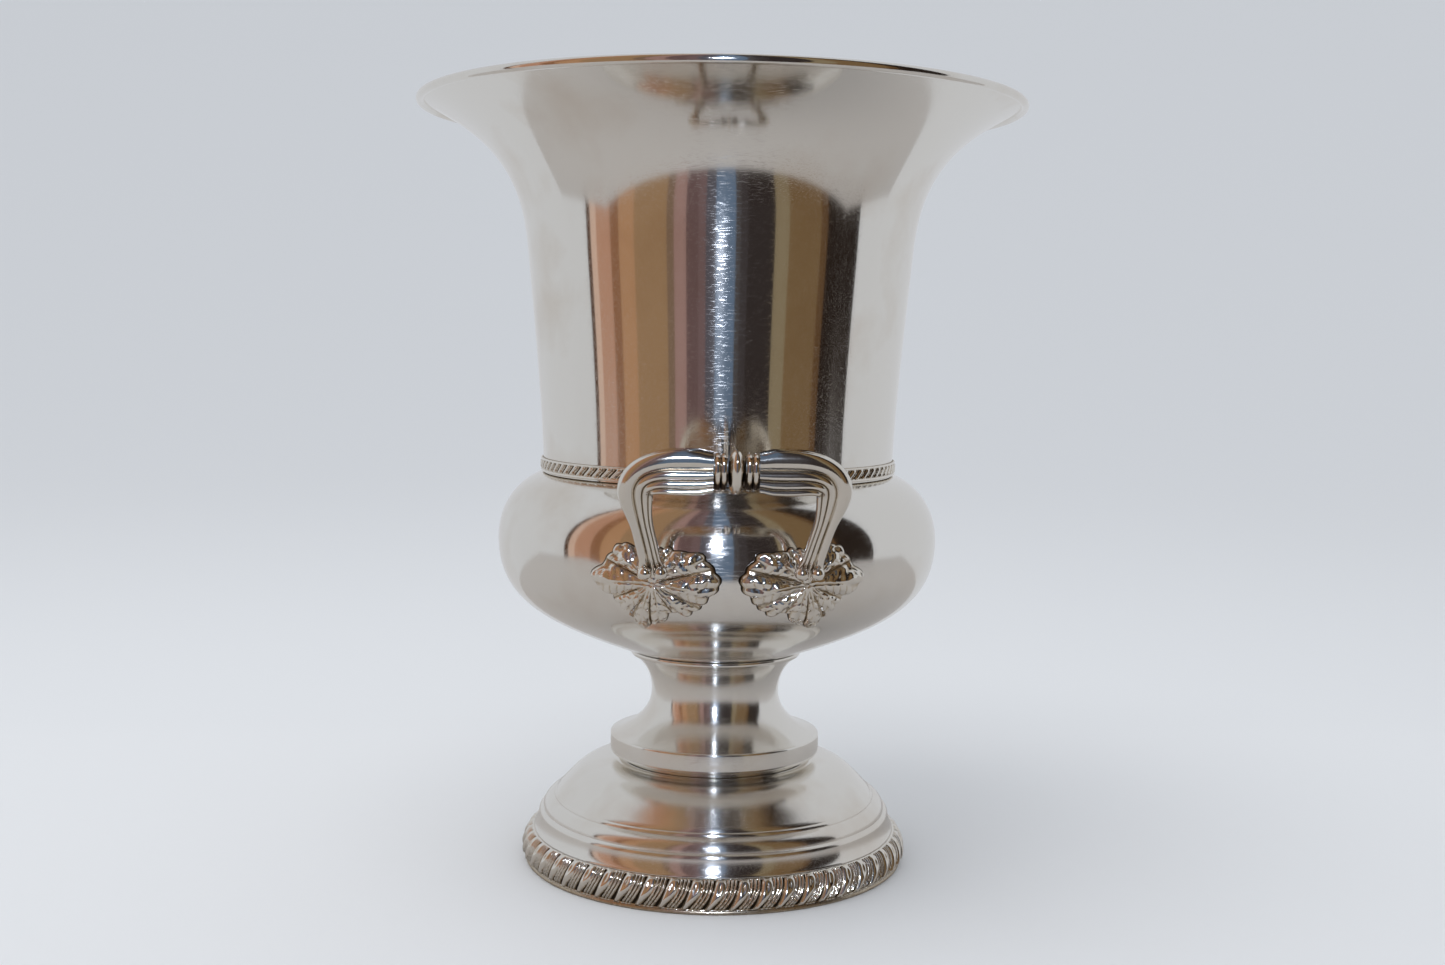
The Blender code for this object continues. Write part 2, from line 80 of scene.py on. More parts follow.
LEAF_TOP = corners("front_handle_right_leaf")[1].z

# Sizes that only the looks have

WALL = 1.2
WAIST_RADIUS = 62.7
THROAT_RADIUS = 68.3
FLARE_HEIGHT = 53.0
CUP_RADIUS = 30.9
NECK_RADIUS = 23.1
BORDER_LOBES = 54  # repeats round the foot's border
BAND_LOBES = 98  # repeats round the waist band

# Steps of the spins: round the rim's wire, and along one repeat of each border

WIRE_STEPS = 20
LOBE_STEPS = 36
CURL_STEPS = 16


# Building blocks


def curve(start, start_control, end_control, end, points=12):
    """Points along one Bezier stretch of an outline, both ends included."""
    knots = (Vector((*knot, 0)) for knot in (start, start_control, end_control, end))
    return [(point.x, point.y) for point in interpolate_bezier(*knots, points)]


def smoothstep(low, high, value):
    """From 0 at low to 1 at high, level at both ends."""
    share = min(max((value - low) / (high - low), 0), 1)
    return share * share * (3 - 2 * share)


def turned(outline, steps=ROUND_STEPS, axis="Z", closed=False):
    """A bmesh spun from (radius, place) points. It faces away from its axis."""
    shape = bmesh.new()
    verts = [shape.verts.new((radius, 0, place)) for radius, place in outline]
    followers = verts[1:] + verts[:1] if closed else verts[1:]
    edges = [shape.edges.new(pair) for pair in zip(verts, followers)]
    bmesh.ops.spin(
        shape, geom=verts + edges, cent=(0, 0, 0), axis=(0, 0, 1), angle=TAU, steps=steps, use_merge=True
    )
    bmesh.ops.remove_doubles(shape, verts=shape.verts, dist=0.002)
    bmesh.ops.recalc_face_normals(shape, faces=shape.faces)
    if axis == "X":
        bmesh.ops.rotate(shape, cent=(0, 0, 0), matrix=Matrix.Rotation(TAU / 4, 3, "Y"), verts=shape.verts)
    return shape


def thicken(shape, wall):
    """Gives an open spun surface its wall, on its inner side."""
    lean = sum(face.normal.xy.dot(face.calc_center_median().xy) * face.calc_area() for face in shape.faces)
    if lean < 0:
        bmesh.ops.reverse_faces(shape, faces=shape.faces)
    outer = set(shape.faces)
    bmesh.ops.solidify(shape, geom=shape.faces[:], thickness=wall)
    for face in shape.faces:
        face.material_index = 0 if face in outer else 1


def finish_piece(name, shape, node, materials, sharp_from=40):
    """Makes the object, which stands for a CAD node."""
    bmesh.ops.scale(shape, vec=(MM, MM, MM), verts=shape.verts)
    mesh = bpy.data.meshes.new(name)
    shape.to_mesh(mesh)
    shape.free()
    mesh.shade_smooth()
    mesh.set_sharp_from_angle(angle=math.radians(sharp_from))
    for material in materials:
        mesh.materials.append(material)
    piece = bpy.data.objects.new(name, mesh)
    bpy.context.scene.collection.objects.link(piece)
    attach(piece, "root")
    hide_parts(node)


# Materials


def linear(hex_colour):
    """An sRGB hex value as linear RGBA."""
    channels = [int(hex_colour[place : place + 2], 16) / 255 for place in (1, 3, 5)]
    return [c / 12.92 if c <= 0.04045 else ((c + 0.055) / 1.055) ** 2.4 for c in channels] + [1]


def add(tree, kind, links=(), values=(), **settings):
    """Adds a node: settings first, then (input, value) pairs, then (input, socket) pairs."""
    made = tree.nodes.new(kind)
    for name, value in settings.items():
        setattr(made, name, value)
    for socket, value in values:
        made.inputs[socket].default_value = value
    for socket, source in links:
        tree.links.new(source, made.inputs[socket])
    return made


def new_material(name):
    """A material, its node tree and its shader."""
    material = bpy.data.materials.new(name)
    material.use_nodes = True
    tree = material.node_tree
    return material, tree, tree.nodes["Principled BSDF"]


def scratches(tree, place, angle, spacing, length, share):
    """A height from 0 to 1 with thin grooves that run one way, spacing and length in millimetres."""
    turn = add(
        tree, "ShaderNodeMapping", [("Vector", place)], [("Rotation", (0, math.radians(angle), angle / 50))]
    )
    pull = add(
        tree,
        "ShaderNodeMapping",
        [("Vector", turn.outputs[0])],
        [("Scale", (1 / (length * MM), 1 / (spacing * MM), 1 / (spacing * MM)))],
    )
    grain = add(tree, "ShaderNodeTexNoise", [("Vector", pull.outputs[0])], [("Scale", 1), ("Detail", 1)])
    return add(
        tree,
        "ShaderNodeMapRange",
        [("Value", grain.outputs["Fac"])],
        [("From Min", share), ("From Max", share + 0.06)],
    ).outputs[0]


def polished_silver_plate(name, roughness=0.09, wear=0.10):
    """Electroplated silver, buffed on a spindle: a mirror that draws lights out into upright streaks, with
    hairlines from wiping and a faint warm tarnish."""
    material, tree, metal = new_material(name)
    metal.inputs["Metallic"].default_value = 1
    metal.inputs["Anisotropic"].default_value = 0.95
    metal.inputs["Anisotropic Rotation"].default_value = 0.25
    place = add(tree, "ShaderNodeTexCoord").outputs["Object"]
    cloud = add(tree, "ShaderNodeTexNoise", [("Vector", place)], [("Scale", 28), ("Detail", 5)])
    tarnish = add(
        tree, "ShaderNodeMapRange", [("Value", cloud.outputs["Fac"])], [("From Min", 0.5), ("From Max", 0.85)]
    )
    colour = add(
        tree,
        "ShaderNodeMix",
        [("Factor", tarnish.outputs[0])],
        [("A", linear("#E9E6E0")), ("B", linear("#D9CFC2"))],
        data_type="RGBA",
    )
    tree.links.new(colour.outputs["Result"], metal.inputs["Base Color"])
    marks = [
        scratches(tree, place, angle, spacing, length, share)
        for angle, spacing, length, share in (
            (0, 0.28, 5, 0.60),
            (12, 0.35, 14, 0.68),
            (-38, 0.3, 9, 0.70),
            (71, 0.4, 11, 0.71),
        )
    ]
    worn = marks[0]
    for mark in marks[1:]:
        worn = add(tree, "ShaderNodeMath", [(0, worn), (1, mark)], operation="MAXIMUM").outputs[0]
    rough = add(tree, "ShaderNodeMath", [(0, worn)], [(1, wear), (2, roughness)], operation="MULTIPLY_ADD")
    tree.links.new(rough.outputs[0], metal.inputs["Roughness"])
    groove = add(
        tree,
        "ShaderNodeBump",
        [("Height", worn)],
        [("Strength", 0.08), ("Distance", 0.02 * MM)],
        invert=True,
    )
    tree.links.new(groove.outputs[0], metal.inputs["Normal"])
    return material


def relief_silver_plate(name, dark="#2E271E", warm="#968469"):
    """Cast or stamped silver plate: bright crests, and brown-black tarnish left in the recesses."""
    material, tree, metal = new_material(name)
    metal.inputs["Metallic"].default_value = 1
    place = add(tree, "ShaderNodeTexCoord").outputs["Object"]
    # Real tarnish in the reliefs' recesses; on the base ring, painted shade.
    recess = add(tree, "ShaderNodeAttribute", attribute_name="tarnish_and_shade").outputs["Fac"]
    speckle = add(tree, "ShaderNodeTexNoise", [("Vector", place)], [("Scale", 900), ("Detail", 4)])
    depth = add(
        tree,
        "ShaderNodeMath",
        [(0, speckle.outputs["Fac"]), (2, recess)],
        [(1, 0.35)],
        operation="MULTIPLY_ADD",
    )
    ramp = add(tree, "ShaderNodeValToRGB", [("Fac", depth.outputs[0])])
    stops = ramp.color_ramp.elements
    stops[0].position, stops[0].color = 0.3, linear("#E4DFD6")
    stops[1].position, stops[1].color = 1.1, linear(dark)
    for position, shade in ((0.55, "#D0C5B3"), (0.8, warm)):
        stops.new(position).color = linear(shade)
    tree.links.new(ramp.outputs[0], metal.inputs["Base Color"])
    rough = add(
        tree,
        "ShaderNodeMapRange",
        [("Value", depth.outputs[0])],
        [("From Min", 0.3), ("From Max", 1.1), ("To Min", 0.12), ("To Max", 0.5)],
    )
    tree.links.new(rough.outputs[0], metal.inputs["Roughness"])
    pits = add(
        tree,
        "ShaderNodeBump",
        [("Height", speckle.outputs["Fac"])],
        [("Strength", 0.25), ("Distance", 0.05 * MM)],
    )
    tree.links.new(pits.outputs[0], metal.inputs["Normal"])
    return material


def unpolished_plate(name):
    """Plate that was never buffed, as inside the bucket and under the foot: a soft sheen, with rings from
    spinning and pale water spots."""
    material, tree, metal = new_material(name)
    metal.inputs["Metallic"].default_value = 1
    place = add(tree, "ShaderNodeTexCoord").outputs["Object"]
    spots = add(tree, "ShaderNodeTexNoise", [("Vector", place)], [("Scale", 70), ("Detail", 6)])
    colour = add(
        tree,
        "ShaderNodeMix",
        [("Factor", spots.outputs["Fac"])],
        [("A", linear("#C9C4BB")), ("B", linear("#A79F93"))],
        data_type="RGBA",
    )
    tree.links.new(colour.outputs["Result"], metal.inputs["Base Color"])
    rough = add(
        tree,
        "ShaderNodeMapRange",
        [("Value", spots.outputs["Fac"])],
        [("To Min", 0.24), ("To Max", 0.44)],
    )
    tree.links.new(rough.outputs[0], metal.inputs["Roughness"])
    rings = add(
        tree,
        "ShaderNodeTexWave",
        [("Vector", place)],
        [("Scale", 160), ("Distortion", 0.4)],
        wave_type="RINGS",
        rings_direction="Z",
    )
    groove = add(
        tree,
        "ShaderNodeBump",
        [("Height", rings.outputs["Fac"])],
        [("Strength", 0.15), ("Distance", 0.05 * MM)],
    )
    tree.links.new(groove.outputs[0], metal.inputs["Normal"])
    return material


def bare_brass(name):
    """Machined brass with no plate on it: yellow, satin, darkened in blotches."""
    material, tree, metal = new_material(name)
    metal.inputs["Metallic"].default_value = 1
    place = add(tree, "ShaderNodeTexCoord").outputs["Object"]
    blotch = add(tree, "ShaderNodeTexNoise", [("Vector", place)], [("Scale", 260), ("Detail", 5)])
    colour = add(
        tree,
        "ShaderNodeMix",
        [("Factor", blotch.outputs["Fac"])],
        [("A", linear("#D8B974")), ("B", linear("#8A6A3A"))],
        data_type="RGBA",
    )
    tree.links.new(colour.outputs["Result"], metal.inputs["Base Color"])
    rough = add(
        tree, "ShaderNodeMapRange", [("Value", blotch.outputs["Fac"])], [("To Min", 0.22), ("To Max", 0.5)]
    )
    tree.links.new(rough.outputs[0], metal.inputs["Roughness"])
    return material


POLISHED = polished_silver_plate("polished_silver_plate")
FOOT = polished_silver_plate("worn_silver_plate_foot", roughness=0.16, wear=0.08)
HANDLE = relief_silver_plate("cast_silver_plate_handle", dark="#3B3026", warm="#B9A88E")
RELIEF = relief_silver_plate("stamped_silver_plate_border")
UNPOLISHED = unpolished_plate("unpolished_silver_plate")
BRASS = bare_brass("bare_brass")


# The bucket's shells


def upper_body():
    """The spun upper body: nearly straight up from the waist, then a wide flare."""
    throat = RIM_TOP - FLARE_HEIGHT - WIRE_RADIUS
    rim = (RIM_RADIUS - 1.7 * WIRE_RADIUS, RIM_TOP - 1.25 * WIRE_RADIUS)
    flare = curve(
        rim,
        (rim[0] - 32.3, rim[1] - 14.6),
        (THROAT_RADIUS + 1.5, throat + 17),
        (THROAT_RADIUS, throat),
        points=40,
    )
    waist = BAND_BOTTOM + 1.6
    wall = curve(
        (THROAT_RADIUS, throat),
        (THROAT_RADIUS - 1.9, throat - 21.5),
        (WAIST_RADIUS + 0.7, waist + 24),
        (WAIST_RADIUS, waist),
        points=24,
    )
    shape = turned(flare + wall[1:])
    thicken(shape, WALL)
    finish_piece("spun_upper_body", shape, "upper_body", [POLISHED, UNPOLISHED])


def rim_wire():
    """The round wire soldered round the rim."""
    centre = (RIM_RADIUS - WIRE_RADIUS, RIM_TOP - WIRE_RADIUS)
    ring = []
    for step in range(WIRE_STEPS):
        turn = TAU * step / WIRE_STEPS
        ring.append((centre[0] + WIRE_RADIUS * math.cos(turn), centre[1] + WIRE_RADIUS * math.sin(turn)))
    finish_piece("rim_wire_bead", turned(ring, closed=True), "rim_wire", [POLISHED])


def bowl_outline():
    """The bowl's outside, from the joint behind the waist band down to its middle."""
    widest = BAND_BOTTOM - 23.7
    cup = CUP_TOP
    neck = [(WAIST_RADIUS, BAND_BOTTOM + 1.2), (WAIST_RADIUS, BAND_BOTTOM - 0.1)]
    shoulder = curve(
        (WAIST_RADIUS, BAND_BOTTOM - 0.4),
        (WAIST_RADIUS + 8.2, BAND_BOTTOM - 3.0),
        (BOWL_RADIUS, widest + 12.6),
        (BOWL_RADIUS, widest),
        points=22,
    )
    belly = curve(
        (BOWL_RADIUS, widest),
        (BOWL_RADIUS, widest - 22.5),
        (BOWL_RADIUS - 16.7, cup + 12.2),
        (CUP_RADIUS - 1.2, cup + 0.3),
        points=34,
    )
    bottom = curve(
        (CUP_RADIUS - 1.2, cup + 0.3),
        (CUP_RADIUS / 2, cup - 4.5),
        (8, cup - 4.6),
        (0, cup - 4.6),
        points=8,
    )
    return neck + shoulder + belly[1:] + bottom[1:]


def bowl():
    """The spun lower body."""
    shape = turned(bowl_outline())
    thicken(shape, WALL)
    finish_piece("spun_bowl", shape, "bowl", [POLISHED, UNPOLISHED])


# The pedestal


def stem():
    """The hollow stem: a cup under the bowl, a narrow neck, and a wide flange with an upright edge."""
    cup = CUP_TOP
    neck = cup - 14.6
    flange = STEM_FOOT + 9.4
    outside = [(CUP_RADIUS - 2, cup - 0.1), (CUP_RADIUS - 0.6, cup + 0.4), (CUP_RADIUS - 0.2, cup + 0.45)]
    outside += [(CUP_RADIUS, cup + 0.2), (CUP_RADIUS, cup - 0.5), (CUP_RADIUS - 0.3, cup - 1.1)]
    outside += curve(
        (CUP_RADIUS - 0.9, cup - 1.4),
        (NECK_RADIUS + 3.0, cup - 3.6),
        (NECK_RADIUS, neck + 6),
        (NECK_RADIUS, neck),
        points=20,
    )
    outside += curve(
        (NECK_RADIUS, neck),
        (NECK_RADIUS, neck - 7.5),
        (FLANGE_RADIUS - 8.5, flange + 2.0),
        (FLANGE_RADIUS - 0.9, flange),
        points=22,
    )[1:]
    outside += curve(
        (FLANGE_RADIUS - 0.6, flange - 0.1),
        (FLANGE_RADIUS - 0.1, flange - 0.2),
        (FLANGE_RADIUS, flange - 0.5),
        (FLANGE_RADIUS, flange - 1.0),
        points=5,
    )
    outside += curve(
        (FLANGE_RADIUS, STEM_FOOT + 3.4),
        (FLANGE_RADIUS, STEM_FOOT + 2.2),
        (FLANGE_RADIUS - 1.0, STEM_FOOT + 1.6),
        (FLANGE_RADIUS - 2.6, STEM_FOOT + 1.5),
        points=8,
    )
    outside += [
        (FLANGE_RADIUS - 4.0, STEM_FOOT + 1.5),
        (FLANGE_RADIUS - 4.4, STEM_FOOT + 1.2),
        (FLANGE_RADIUS - 4.6, STEM_FOOT),
    ]
    inside = [
        (FLANGE_RADIUS - 6.6, STEM_FOOT),
        (FLANGE_RADIUS - 6.6, flange - 2.2),
        (NECK_RADIUS - WALL, neck - 5),
        (NECK_RADIUS - WALL, neck + 5),
        (CUP_RADIUS - 4, cup - 4.0),
        (CUP_RADIUS - 4, cup - 1.4),
    ]
    finish_piece("spun_stem", turned(outside + inside, closed=True), "stem", [FOOT])


def foot_dome():
    """The spun foot: a dome with a small ring at its crown, then two stepped mouldings, and a cove above the
    border."""
    skirt = BORDER_RADIUS - 4.4
    edge = (skirt - 7.0, BORDER_TOP + 13.5)
    ring = FLANGE_RADIUS - 3.2
    outside = [(3.0, CROWN), (ring - 1.6, CROWN)]
    outside += curve(
        (ring - 1.4, CROWN),
        (ring - 0.9, CROWN + 0.35),
        (ring + 0.5, CROWN + 0.3),
        (ring + 0.9, CROWN - 0.35),
        points=7,
    )
    outside += curve(
        (ring + 1.2, CROWN - 0.5),
        (ring + 13.5, CROWN - 0.6),
        (edge[0] - 7.2, edge[1] + 7.4),
        edge,
        points=26,
    )
    outside += [
        (edge[0] + 0.25, edge[1] - 0.5),
        (edge[0] + 0.8, edge[1] - 0.7),
        (edge[0] + 1.1, edge[1] - 1.2),
    ]
    outside += curve(
        (edge[0] + 1.2, edge[1] - 1.7),
        (edge[0] + 3.4, edge[1] - 2.2),
        (edge[0] + 5.0, edge[1] - 4.0),
        (edge[0] + 5.1, edge[1] - 6.1),
        points=12,
    )
    outside += [
        (edge[0] + 5.6, edge[1] - 6.5),
        (edge[0] + 6.2, edge[1] - 6.7),
        (edge[0] + 6.5, edge[1] - 7.2),
    ]
    outside += curve(
        (edge[0] + 6.6, edge[1] - 7.6),
        (edge[0] + 6.7, edge[1] - 9.8),
        (edge[0] + 7.3, edge[1] - 11.8),
        (skirt + 1.4, BORDER_TOP + 0.5),
        points=12,
    )
    outside += [(skirt + 1.4, BORDER_TOP + 0.1), (skirt, BORDER_TOP + 0.1), (skirt, BORDER_BOTTOM)]
    shape = turned(outside)
    thicken(shape, WALL)
    finish_piece("spun_foot_dome", shape, "foot_dome", [FOOT, UNPOLISHED])


def base_ring():
    """The plain flat ring that closes the foot's edge."""
    inner = BORDER_RADIUS - 9
    outline = [(inner, 0.3), (inner, 1.2), (BORDER_RADIUS - 0.3, 1.3), (BORDER_RADIUS, 0.9)]
    outline += [(BORDER_RADIUS, 0.35), (BORDER_RADIUS - 0.4, 0), (inner + 0.3, 0)]
    shape = turned(outline, closed=True)
    # Painted shade: brown-grey, darker inward under the foot, standing for the shade at its bottom edge.
    tarnish_and_shade = shape.verts.layers.float.new("tarnish_and_shade")
    for vert in shape.verts:
        vert[tarnish_and_shade] = 0.62 - 0.14 * smoothstep(inner + 5, BORDER_RADIUS - 0.5, vert.co.xy.length)
    finish_piece("base_ring_edge", shape, "base_ring", [RELIEF])


# Relief borders


def dent(shape, tarnish_and_shade, relief):
    """Moves each vertex in or out by relief(vertex), in millimetres, and stores how dark its tarnish is."""
    layer = shape.verts.layers.float.new("tarnish_and_shade")
    for vert in shape.verts:
        out, dark = relief(vert.co)
        if out:
            flat = vert.co.xy.normalized()
            vert.co.x += flat.x * out
            vert.co.y += flat.y * out
        vert[layer] = dark * tarnish_and_shade


def lobe_height(across, half_width):
    """A half-round's height from 0 to 1 at a place across it."""
    return math.sqrt(max(0, 1 - (across / half_width) ** 2))


STRANDS = ((0.60, 0.85), (0.755, 0.95), (0.91, 0.85))  # each strand's place across a repeat, and its height


def gadroon_relief(place):
    """One repeat is a fat comma with a dimpled head, then three thin strands. All sweep to the right.

    up runs from 0 to 1 over the border's height, and across runs from 0 to 1 over one repeat.
    """
    if place.xy.length < BORDER_RADIUS - 3.4:
        return 0, 0.6
    up = (place.z - BORDER_BOTTOM) / (BORDER_TOP - BORDER_BOTTOM)
    turn = math.atan2(place.x, -place.y)
    lean = 0.62 * (1 - (1 - min(max(up, 0), 1)) ** 1.8)
    across = (turn / TAU * BORDER_LOBES - lean) % 1
    end = smoothstep(0, 0.08, up) * smoothstep(1.02, 0.96, up)
    half_width = 0.10 + 0.15 * smoothstep(0.0, 0.6, up)
    round_top = math.sqrt(max(0, 1 - max(0, (up - 0.84) / 0.17) ** 2))
    comma = lobe_height(across - 0.29, max(half_width * round_top, 0.001)) * 1.3
    dimple = math.exp(-(((across - 0.27) / 0.07) ** 2) - ((up - 0.76) / 0.14) ** 2)
    strands = max(lobe_height(across - middle, 0.055) * high for middle, high in STRANDS)
    strands *= 0.4 + 0.6 * smoothstep(0.0, 0.2, up)
    height = (max(comma, strands) - 0.5 * dimple) * end
    edge = 0.7 * smoothstep(0.95, 0.99, up) + 0.5 * smoothstep(0.05, 0.01, up)
    height = max(height, edge)
    dark = 1 - smoothstep(0.05, 0.6, height)
    return height - 0.75, max(dark, 0.6 * dimple)


def gadroon_border():
    """The stamped border round the foot, bulging out between two fine edges."""
    inner = BORDER_RADIUS - 4.1
    rows = 24
    bulge = curve(
        (BORDER_RADIUS - 2.4, BORDER_TOP),
        (BORDER_RADIUS + 0.2, BORDER_TOP - 1.6),
        (BORDER_RADIUS + 1.9, BORDER_BOTTOM + 3.6),
        (BORDER_RADIUS + 0.1, BORDER_BOTTOM),
        points=rows,
    )
    outline = [(inner, BORDER_TOP)] + bulge + [(inner, BORDER_BOTTOM)]
    shape = turned(outline, steps=BORDER_LOBES * LOBE_STEPS, closed=True)
    dent(shape, 0.88, gadroon_relief)
    finish_piece("stamped_gadroon_border", shape, "gadroon_border", [RELIEF], sharp_from=80)


def band_relief(place):
    """Small leaning curls between an upper and a lower lip, with a thread between each two."""
    if place.xy.length < WAIST_RADIUS + 0.55:
        return 0, 1
    up = (place.z - BAND_BOTTOM) / (BAND_TOP - BAND_BOTTOM)
    lip = max(lobe_height(up - 0.92, 0.09), lobe_height(up - 0.09, 0.11)) * 0.5
    turn = math.atan2(place.x, -place.y)
    lean = 0.45 * math.sin((up - 0.5) * math.pi)
    across = (turn / TAU * BAND_LOBES - lean) % 1
    end = smoothstep(0.14, 0.26, up) * smoothstep(0.88, 0.76, up)
    curl = lobe_height(across - 0.4, 0.27) * end * 0.66
    thread = lobe_height(across - 0.84, 0.08) * end * 0.4
    height = max(lip, curl, thread)
    return height - 0.25, 1 - smoothstep(0.04, 0.36, height)


def waist_band():
    """The narrow stamped band that hides the joint of the two shells."""
    rows = 16
    low = WAIST_RADIUS + 0.05
    out = WAIST_RADIUS + 0.75
    face = [(out, BAND_TOP - (BAND_TOP - BAND_BOTTOM) * row / rows) for row in range(rows + 1)]
    outline = [(low, BAND_TOP)] + face + [(low, BAND_BOTTOM)]
    shape = turned(outline, steps=BAND_LOBES * CURL_STEPS, closed=True)
    dent(shape, 0.85, band_relief)
    finish_piece("stamped_waist_band", shape, "waist_band", [RELIEF], sharp_from=80)


# The clamp under the foot


def clamp():
    """The stud soldered under the bowl, and the washer and nut that pull the foot tight.

    Known fault: the shank takes its radius from the stud's wide head, and both bores follow from the shank.
    The shank is five times too thick and cuts the foot's crown, and the washer and the nut are slivers.
    """
    stud = corners("mounting_stud")
    head_radius = stud[1].x
    pitch = 0.8
    threaded = 13
    outline = [(0, stud[1].z), (head_radius, stud[1].z), (head_radius, stud[0].z + threaded + 1)]
    for thread in range(int(threaded / pitch)):
        top = stud[0].z + threaded + 0.6 - thread * pitch
        outline += [(head_radius, top), (head_radius - 0.42, top - pitch / 2)]
    outline += [(head_radius - 0.6, stud[0].z + 0.4), (head_radius - 1.0, stud[0].z), (0, stud[0].z)]
    finish_piece("threaded_stud", turned(outline, steps=64), "mounting_stud", [BRASS], sharp_from=25)

    low, high = corners("clamp_washer")
    bore = head_radius + 0.3
    outline = [(bore, low.z), (high.x - 0.3, low.z), (high.x, low.z + 0.3), (high.x, high.z - 0.2)]
    outline += [(bore, high.z)]
    washer = turned(outline, steps=96, closed=True)
    finish_piece("brass_washer", washer, "clamp_washer", [BRASS], sharp_from=25)

    low, high = corners("clamp_nut")
    bottom, top = low.z, high.z
    across_corners = high.x
    outline = [
        (bore, bottom + 0.5),
        (bore + 0.5, bottom),
        (across_corners * 0.86, bottom),
        (across_corners, bottom + 0.9),
        (across_corners, top - 0.5),
        (across_corners * 0.92, top),
        (bore, top),
    ]
    nut = turned(outline, steps=96, closed=True)
    # The six flats cut the turned blank back to the hexagon.
    for side in range(6):
        out = Vector((math.cos(TAU * (side + 0.5) / 6), math.sin(TAU * (side + 0.5) / 6), 0))
        reach = across_corners * math.cos(TAU / 12)
        for vert in nut.verts:
            past = vert.co.dot(out) - reach
            if past > 0:
                vert.co -= out * past
    finish_piece("hexagon_nut", nut, "clamp_nut", [BRASS], sharp_from=25)


# Handles

ARM_START = 7.0  # from the handle's middle to the end of the collars
KNOP_FLATNESS = 0.66  # the knop's depth from front to back, as a share of its height
LEG_FOOT = Vector((24.7, -80.6, LEAF_TOP - 8.6))
REEDS = (0.0, 0.46, 0.67, 0.85, 1.0)  # the grooves across an arm's front, from its outer to its inner edge
PLANE_UP = Vector((0, LEG_FOOT.y + BAR_REACH, LEG_FOOT.z - BAR_HEIGHT)).normalized() * -1
PLANE_OUT = Vector((1, 0, 0)).cross(PLANE_UP)


def arm_route():
    """The middle of the right arm: along the bar, round the corner, and down the leg to the leaf."""
    bar = Vector((0, -BAR_REACH, BAR_HEIGHT))
    corner = bar + Vector((30.2, 0, 0)) - PLANE_UP * 9.5
    straight = bar + Vector((18.5, 0, 0))
    bend = interpolate_bezier(
        straight,
        straight + Vector((8.5, 0, 0)),
        corner + PLANE_UP * 6.2 + Vector((0.9, 0, 0)),
        corner,
        20,
    )
    leg = interpolate_bezier(
        corner,
        corner - PLANE_UP * 6 - Vector((0.6, 0, 0)),
        LEG_FOOT + PLANE_UP * 12 + Vector((1.6, 0, 0)),
        LEG_FOOT,
        26,
    )
    start = bar + Vector((ARM_START, 0, 0))
    along_bar = [start.lerp(straight, share) for share in (0, 0.12, 0.35, 0.7)]
    return along_bar + bend + leg[1:]


def arm_depth(share):
    """How deep the arm is across its run, from the collars (share 0) to the leaf (share 1)."""
    bar = 14.6 - 2.0 * smoothstep(0.09, 0, share)
    narrowing = 3.0 * smoothstep(0.15, 0.42, share) + 4.5 * smoothstep(0.40, 0.70, share)
    return bar - narrowing + 2.6 * smoothstep(0.88, 1, share)


def arm_section(points=9):
    """(deep, thick, dark) round the arm's section: four half-round reeds in front and a plain back."""
    section = []
    last = len(REEDS) - 2
    for reed, (start, end) in enumerate(zip(REEDS, REEDS[1:])):
        for step in range(points if reed == last else points - 1):
            across = -math.cos(math.pi * step / (points - 1))
            crest = math.sqrt(1 - across**2)
            share = start + (end - start) * (across + 1) / 2
            outer_edge = reed == 0 and across < 0
            inner_edge = reed == last and across > 0
            top = 0.90 - 0.18 * (start + end)
            base = 0 if outer_edge or inner_edge else max(0, top - 1.7 * (end - start))
            dark = 0.1 if outer_edge or inner_edge else 1 - smoothstep(0.05, 0.6, crest)
            section.append((1 - 2 * share, base + (top - base) * crest, dark))
    for step in range(1, 16):
        turn = math.pi * step / 16
        section.append((-math.cos(turn), -0.62 * math.sin(turn), 0.3))
    return section


def right_arm():
    """A reeded bar swept along its route. It ends in two beads on the leaf."""
    route = arm_route()
    lengths = [0]
    for before, here in zip(route, route[1:]):
        lengths.append(lengths[-1] + (here - before).length)
    section = arm_section()
    shape = bmesh.new()
    tarnish_and_shade = shape.verts.layers.float.new("tarnish_and_shade")
    ring = bmesh.ops.create_circle(shape, cap_ends=False, segments=len(section), radius=1)["verts"]
    edges = list(shape.edges)
    for index, middle in enumerate(route):
        run = (route[min(index + 1, len(route) - 1)] - route[max(index - 1, 0)]).normalized()
        share = lengths[index] / lengths[-1]
        out = Vector((0, -1, 0)).lerp(PLANE_OUT, smoothstep(0.3, 0.65, share))
        out = (out - run * out.dot(run)).normalized()
        side = run.cross(out) * -1
        depth = arm_depth(share) / 2
        thickness = 3.9 - 1.3 * share
        if index:
            grown = bmesh.ops.extrude_edge_only(shape, edges=edges)["geom"]
            ring = [item for item in grown if isinstance(item, bmesh.types.BMVert)]
            edges = [item for item in grown if isinstance(item, bmesh.types.BMEdge) and item.is_boundary]
        # An extrusion keeps the order of the ring that it grew from.
        for vert, (deep, thick, dark) in zip(ring, section):
            vert.co = middle + side * deep * depth + out * thick * thickness
            vert[tarnish_and_shade] = dark
    bmesh.ops.holes_fill(shape, edges=[edge for edge in shape.edges if edge.is_boundary], sides=0)
    bmesh.ops.recalc_face_normals(shape, faces=shape.faces)
    for across, size in ((-2.5, 2.3), (2.4, 2.2)):
        bead = bmesh.ops.create_uvsphere(shape, u_segments=20, v_segments=12, radius=size)["verts"]
        bmesh.ops.translate(shape, vec=LEG_FOOT + Vector((across, -3.6, 1.0)), verts=bead)
        for vert in bead:
            vert[tarnish_and_shade] = 0.1
    return shape


